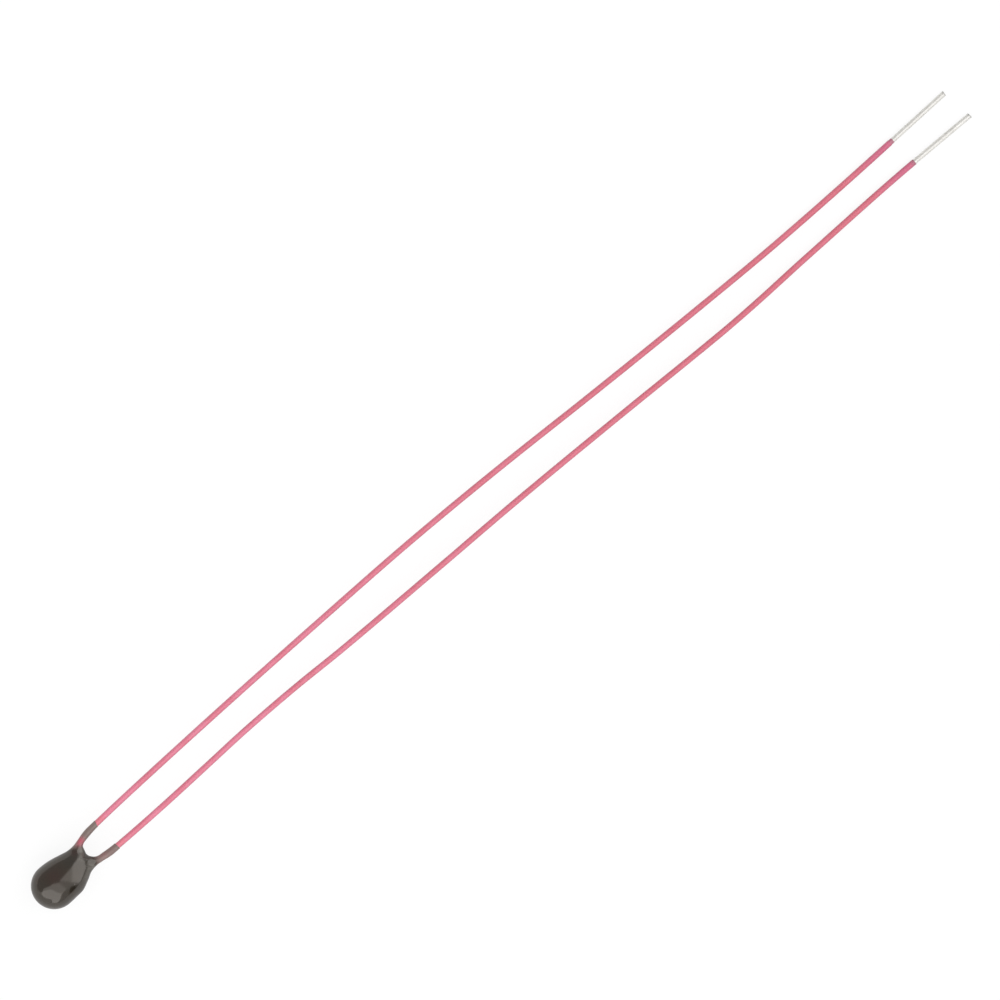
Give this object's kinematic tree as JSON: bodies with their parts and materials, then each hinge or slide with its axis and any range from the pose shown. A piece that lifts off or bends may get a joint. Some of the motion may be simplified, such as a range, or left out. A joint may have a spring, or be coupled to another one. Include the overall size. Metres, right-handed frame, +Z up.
{
  "type": "ntc thermistor",
  "caption": "Dark resin-dipped bead thermistor with a webbed neck and long thin pink-insulated wire leads that end in short bare tinned tips.",
  "frame": {"origin": "on the surface that the part lies on, half way along its length, in line with the middle of the resin head", "axes": "+X from the resin head towards the lead tips, +Y across the leads towards the left lead, +Z up, with the leads lying side by side"},
  "size_m": [0.061, 0.0027, 0.0022],
  "materials": {
    "resin": "dipped epoxy, dark brown and glossy, translucent where it is thin",
    "chip_ceramic": "sintered metal oxide, matt",
    "silver_film": "fired silver film",
    "solder": "bright solder",
    "tinned_wire": "solder-dipped solid wire, satin",
    "insulation": "thin translucent pink plastic, glossy"
  },
  "bodies": {
    "root": {"epoxy_coating": "resin", "thermistor_chip": "chip_ceramic", "electrode_left": "silver_film", "electrode_right": "silver_film", "solder_joint_left": "solder", "solder_joint_right": "solder", "lead_wire_left": "tinned_wire", "lead_wire_right": "tinned_wire", "insulation_left": "insulation", "insulation_right": "insulation"}
  },
  "joints": []
}
